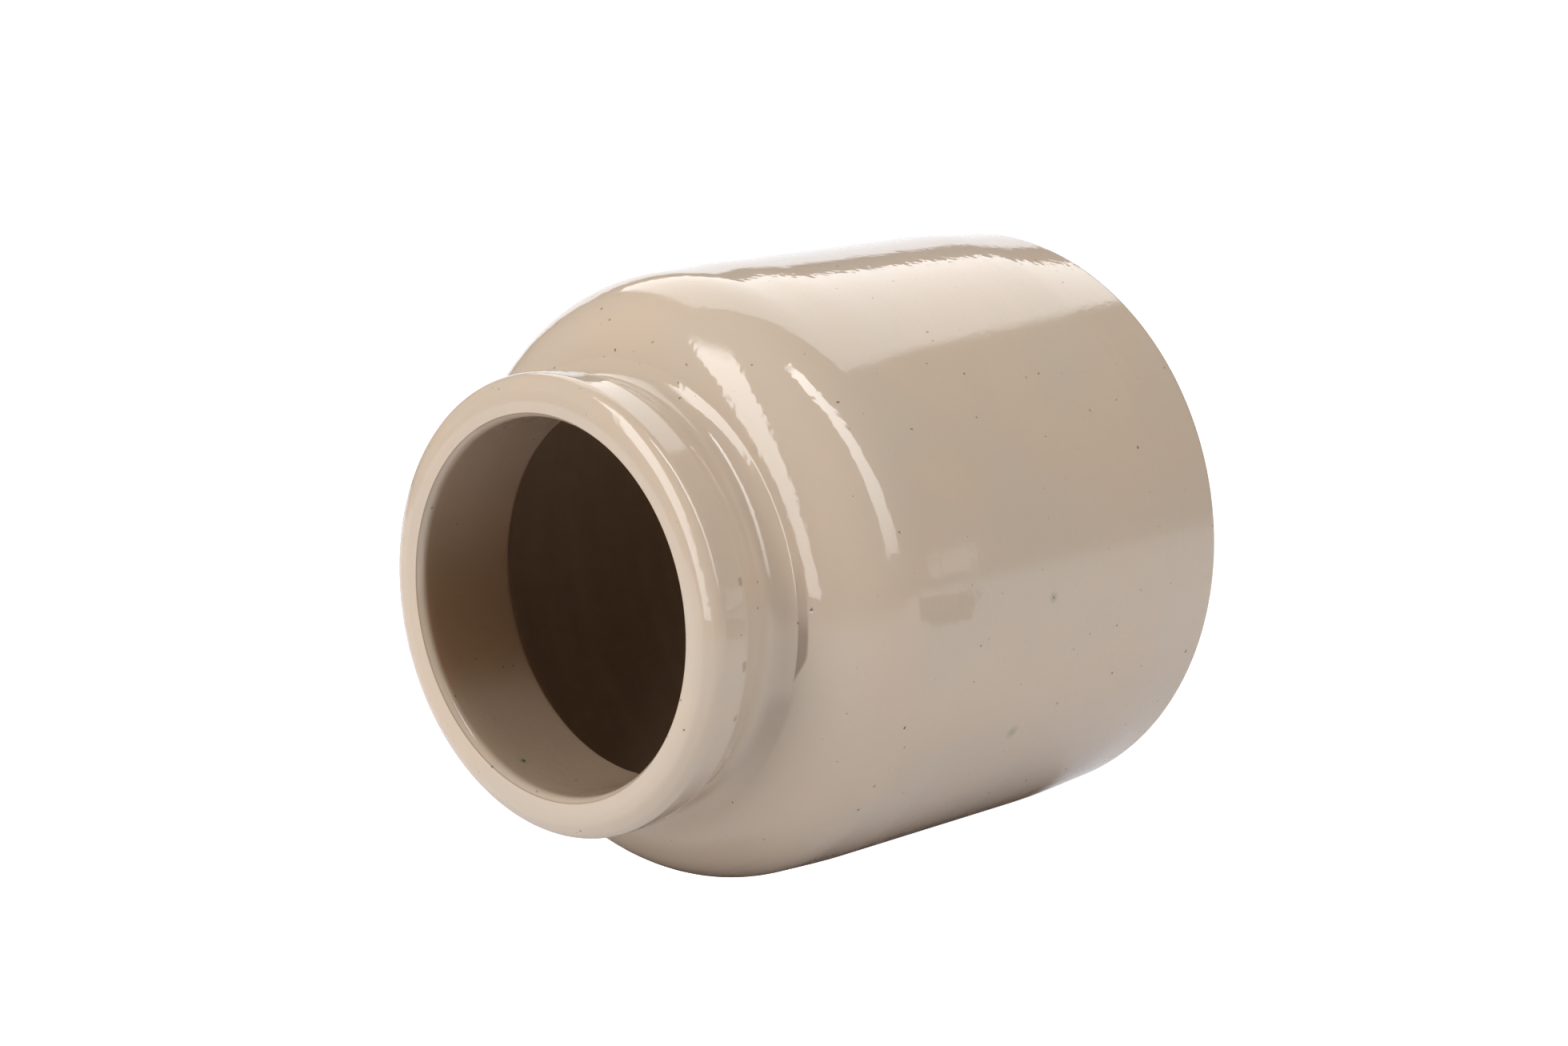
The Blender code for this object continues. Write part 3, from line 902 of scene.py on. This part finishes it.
class JAR_OT_set_stage(Operator):
    """Set up the floor, the background, the lamps and the camera"""

    bl_idname = "jar.set_stage"
    bl_label = "Set the Stage"

    def execute(self, context):
        look = context.scene.jar_stage
        self.add_camera(context)
        self.add_floor()
        self.add_table()
        self.add_contact_shade()
        self.add_cards()
        self.add_world(context, look)
        self.add_lamps(look)
        context.scene.view_settings.view_transform = 'Standard'
        return {'FINISHED'}

    def add_camera(self, context):
        """The camera at the picture's viewing angle, rolled as the jar lies."""
        data = bpy.data.cameras.new("camera")
        data.sensor_width = SENSOR_WIDTH_MM
        data.lens = FOCAL_PIXELS * SENSOR_WIDTH_MM / PICTURE_WIDTH
        data.clip_start = NEAR_CLIP
        camera = bpy.data.objects.new("camera", data)
        context.scene.collection.objects.link(camera)
        camera.location = CAMERA_PLACE
        camera.rotation_euler = CAMERA_TURN
        context.scene.camera = camera

    def add_floor(self):
        """A white floor at the jar's foot, which the camera sees and which lets other light through."""
        nothing_selected()
        bpy.ops.mesh.primitive_plane_add(size=FLOOR_SIDE, location=(0, 0, 0))
        floor = bpy.context.object
        floor.name = "floor"
        material, tree = new_material("white_studio_floor")
        seen = add_node(tree, 'ShaderNodeLightPath').outputs['Is Camera Ray']
        matt = add_node(tree, 'ShaderNodeBsdfDiffuse', {'Color': opaque(linear("#F2F2F2"))})
        glow = add_node(tree, 'ShaderNodeEmission', {'Strength': FLOOR_GLOW})
        both = add_node(tree, 'ShaderNodeAddShader', {0: matt.outputs[0], 1: glow.outputs[0]})
        clear = add_node(tree, 'ShaderNodeBsdfTransparent')
        mix = add_node(tree, 'ShaderNodeMixShader', {0: seen, 1: clear.outputs[0], 2: both.outputs[0]})
        add_node(tree, 'ShaderNodeOutputMaterial', {'Surface': mix.outputs[0]})
        floor.data.materials.append(material)

    def add_table(self):
        """The white table under the lying jar, which darkens towards its front edge."""
        level = RIGHT.cross(TRUE_UP).normalized()
        top = JAR_MIDDLE - TRUE_UP * (NODE_HIGH.x + TABLE_GAP)
        table = flat_card(
            "white_table", top + RIGHT * TABLE_TO_RIGHT - level * TABLE_TO_BACK,
            RIGHT * TABLE_HALF_WIDTH, level * TABLE_HALF_DEPTH,
        )

        def front(tree, x, y):
            """Darker towards the edge that is nearest to the camera."""
            return where(tree, (y, TABLE_FRONT_FADE))

        table.data.materials.append(matt_material("white_table_top", "#E8EBF2", "#6E665E", front))

    def add_contact_shade(self):
        """Painted shadow: a card that is dark along the jar's line of contact, in the wedge between the
        jar's wall and the table, which shows in the wall's lower edge.
        """
        along = Vector((0, 0, 1))
        across = TRUE_UP.cross(along).normalized()
        middle = along * (SHADE_FOOT_END + SHADE_SHOULDER_END) / 2 - TRUE_UP * (NODE_HIGH.x + TABLE_GAP / 2)
        half_along = (SHADE_SHOULDER_END - SHADE_FOOT_END) / 2
        card = flat_card("contact_shade", middle, across * SHADE_HALF_WIDTH, along * half_along)
        card.visible_diffuse = False

        def wedge(tree, x, y):
            """Dark along the line of contact, fading out to the sides and at both ends."""
            off_line, off_middle = distance_from(tree, x, 0), distance_from(tree, y, 0)
            return where(tree, (off_line, SHADE_SIDE_FADE), (off_middle, SHADE_END_FADE))

        card.data.materials.append(matt_material("shaded_table_top", "#E8EBF2", "#6B5342", wedge))

    def add_cards(self):
        """The white paper behind the jar, and a small lit window and a dark clamp seen in the glaze."""
        half_right, half_up = BACKDROP_HALVES
        backdrop = flat_card(
            "backdrop_card", picture_place(*BACKDROP_PLACE), RIGHT * half_right, UP * half_up,
        )
        backdrop.data.materials.append(lit_material("lit_backdrop_paper", "#F3F8FF", BACKDROP_GLOW))
        half_towards, half_up = WINDOW_HALVES
        window = flat_card("window_card", picture_place(*WINDOW_PLACE), TOWARDS * half_towards, UP * half_up)
        window.data.materials.append(lit_material("lit_window", "#FFFFFF", WINDOW_GLOW))
        half_towards, half_up = CLAMP_HALVES
        clamp = flat_card("clamp_card", picture_place(*CLAMP_PLACE), TOWARDS * half_towards, UP * half_up)
        clamp.data.materials.append(matt_material("dark_clamp", "#4A4038"))

    def add_world(self, context, look):
        """A dim room all round, which the camera sees as plain white."""
        world = bpy.data.worlds.new("dim_studio")
        context.scene.world = world
        world.use_nodes = True
        tree = world.node_tree
        tree.nodes.clear()
        white = opaque(linear("#FFFFFF"))
        seen = add_node(tree, 'ShaderNodeLightPath').outputs['Is Camera Ray']
        room = add_node(tree, 'ShaderNodeBackground', {'Color': white, 'Strength': look.room})
        plain = add_node(tree, 'ShaderNodeBackground', {'Color': white, 'Strength': 1.0})
        mix = add_node(tree, 'ShaderNodeMixShader', {0: seen, 1: room.outputs[0], 2: plain.outputs[0]})
        add_node(tree, 'ShaderNodeOutputWorld', {'Surface': mix.outputs[0]})

    def add_lamps(self, look):
        """A softbox and two strips that show in the glaze, and a reflector and two fills that only
        light the clay."""
        half_towards, half_right = SOFTBOX_HALVES
        softbox = soft_lamp(
            "overhead_softbox", look.overhead, picture_place(*SOFTBOX_PLACE),
            TOWARDS * half_towards, RIGHT * half_right,
        )
        shaped_face(softbox, widths=(1.0, 0.76), glows=(1.15, 0.80))

        strip = strip_lamp(
            "left_strip", look.left_strip, LEFT_STRIP_ENDS, (RIGHT + TOWARDS) * LEFT_STRIP_HALF,
        )
        shaped_face(strip, widths=(0.55, 1.0), glows=(0.72, 1.9), end_fades=(0.05, 0.22), side_fade=0.09)
        strip = strip_lamp(
            "right_strip", look.right_strip, RIGHT_STRIP_ENDS, (RIGHT - TOWARDS) * RIGHT_STRIP_HALF,
        )
        shaped_face(strip, widths=(1.0, 0.50), glows=(0.28, 1.28), end_fades=(0.03, 0.10))

        half_up, half_towards = REFLECTOR_HALVES
        reflector = fill_lamp(
            "left_reflector", look.left_fill, REFLECTOR_PLACE, UP * half_up, TOWARDS * half_towards,
        )
        shaped_face(reflector, end_fades=(0.45, 0.45), side_fade=0.45)
        fill_lamp(
            "right_fill", look.right_fill, RIGHT_FILL_PLACE, UP * RIGHT_FILL_HALF, TOWARDS * RIGHT_FILL_HALF,
        )
        fill_lamp("rear_fill", look.rear_fill, REAR_FILL_PLACE, RIGHT * REAR_FILL_HALF, UP * REAR_FILL_HALF)


class JAR_PT_panel(Panel):
    """The jar's sizes, colours and lamps"""

    bl_idname = "JAR_PT_panel"
    bl_label = "Stoneware Jar"
    bl_space_type = 'VIEW_3D'
    bl_region_type = 'UI'
    bl_category = "Jar"

    def draw(self, context):
        for operator in (JAR_OT_turn_jar, JAR_OT_set_stage):
            self.layout.operator(operator.bl_idname)
        for group in (context.scene.jar_sizes, context.scene.jar_glaze, context.scene.jar_stage):
            column = self.layout.column()
            for name in group.__annotations__:
                column.prop(group, name)


CLASSES = (JarSizes, GlazeLook, StageLook, JAR_OT_turn_jar, JAR_OT_set_stage, JAR_PT_panel)


def register():
    """Registers the classes and gives the scene its settings."""
    for item in CLASSES:
        bpy.utils.register_class(item)
    bpy.types.Scene.jar_sizes = PointerProperty(type=JarSizes)
    bpy.types.Scene.jar_glaze = PointerProperty(type=GlazeLook)
    bpy.types.Scene.jar_stage = PointerProperty(type=StageLook)


def unregister():
    """Takes the settings and the classes away again."""
    for name in ("jar_stage", "jar_glaze", "jar_sizes"):
        delattr(bpy.types.Scene, name)
    for item in reversed(CLASSES):
        bpy.utils.unregister_class(item)


def main():
    """Sets the stage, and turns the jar."""
    register()
    bpy.ops.jar.set_stage()
    bpy.ops.jar.turn_jar()


if __name__ == "__main__":
    main()
